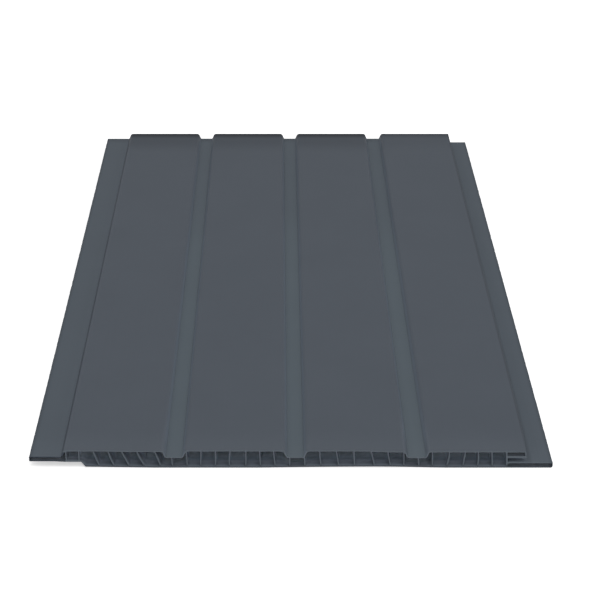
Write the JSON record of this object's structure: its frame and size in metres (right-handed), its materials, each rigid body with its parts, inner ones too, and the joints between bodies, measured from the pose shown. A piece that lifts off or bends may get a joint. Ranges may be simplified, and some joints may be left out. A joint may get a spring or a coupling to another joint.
{
  "type": "wall panel",
  "caption": "Hollow extruded PVC wall panel with raised planks, flat grooves between them, a tongue on one long edge and a slot with a screw flange on the other.",
  "frame": {"origin": "middle of the wall side: the bottom centre of the bounding box, on the floor that the panel lies on", "axes": "+Z out of the cover face, +Y along the length (the way it was extruded), +X across the width from the tongue to the screw flange"},
  "size_m": [0.2698, 0.5, 0.01],
  "materials": {
    "anthracite_pvc": "satin-matt rigid PVC, coloured right through, as extruded"
  },
  "bodies": {
    "root": {"wall_panel": "anthracite_pvc"}
  },
  "joints": []
}
